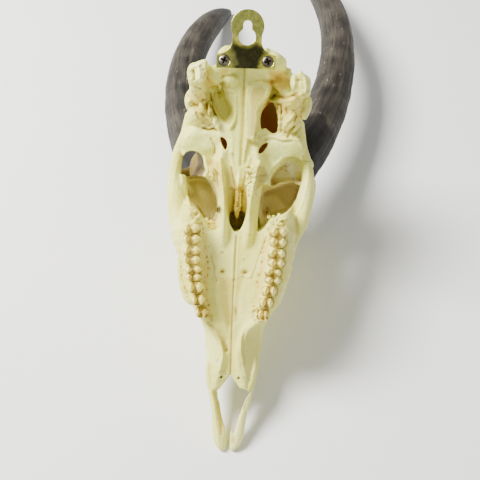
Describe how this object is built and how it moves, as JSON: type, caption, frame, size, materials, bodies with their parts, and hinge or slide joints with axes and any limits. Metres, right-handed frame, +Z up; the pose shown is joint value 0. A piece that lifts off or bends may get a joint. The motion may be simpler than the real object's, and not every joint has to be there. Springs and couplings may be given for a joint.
{
  "type": "bushbuck skull with horns",
  "caption": "Life-size male bushbuck skull without lower jaw, with horns, cheek teeth and a brass keyhole hanger on the condyles, lying palate up on nose and horn tips.",
  "frame": {"origin": "centre of the bounding box in X and Y, at floor level", "axes": "+Z up from the floor; -Y towards the nose tips, +Y towards the horn tips; +X to the skull's right as it lies palate up"},
  "size_m": [0.1436, 0.4786, 0.1684],
  "materials": {
    "bone": "dry cleaned bone",
    "enamel": "satin tooth enamel",
    "horn": "dark ridged horn",
    "brass": "polished sheet",
    "steel": "plated screw"
  },
  "bodies": {
    "root": {"braincase": "bone", "face": "bone", "frontal": "bone", "nasals": "bone", "premaxilla_left": "bone", "premaxilla_right": "bone", "zygomatic_left": "bone", "zygomatic_right": "bone", "tooth_p2_left": "enamel", "tooth_p2_right": "enamel", "tooth_p3_left": "enamel", "tooth_p3_right": "enamel", "tooth_p4_left": "enamel", "tooth_p4_right": "enamel", "tooth_m1_left": "enamel", "tooth_m1_right": "enamel", "tooth_m2_left": "enamel", "tooth_m2_right": "enamel", "tooth_m3_left": "enamel", "tooth_m3_right": "enamel", "horn_left": "horn", "horn_right": "horn", "hanger_plate": "brass", "screw_left": "steel", "screw_right": "steel"}
  },
  "joints": []
}
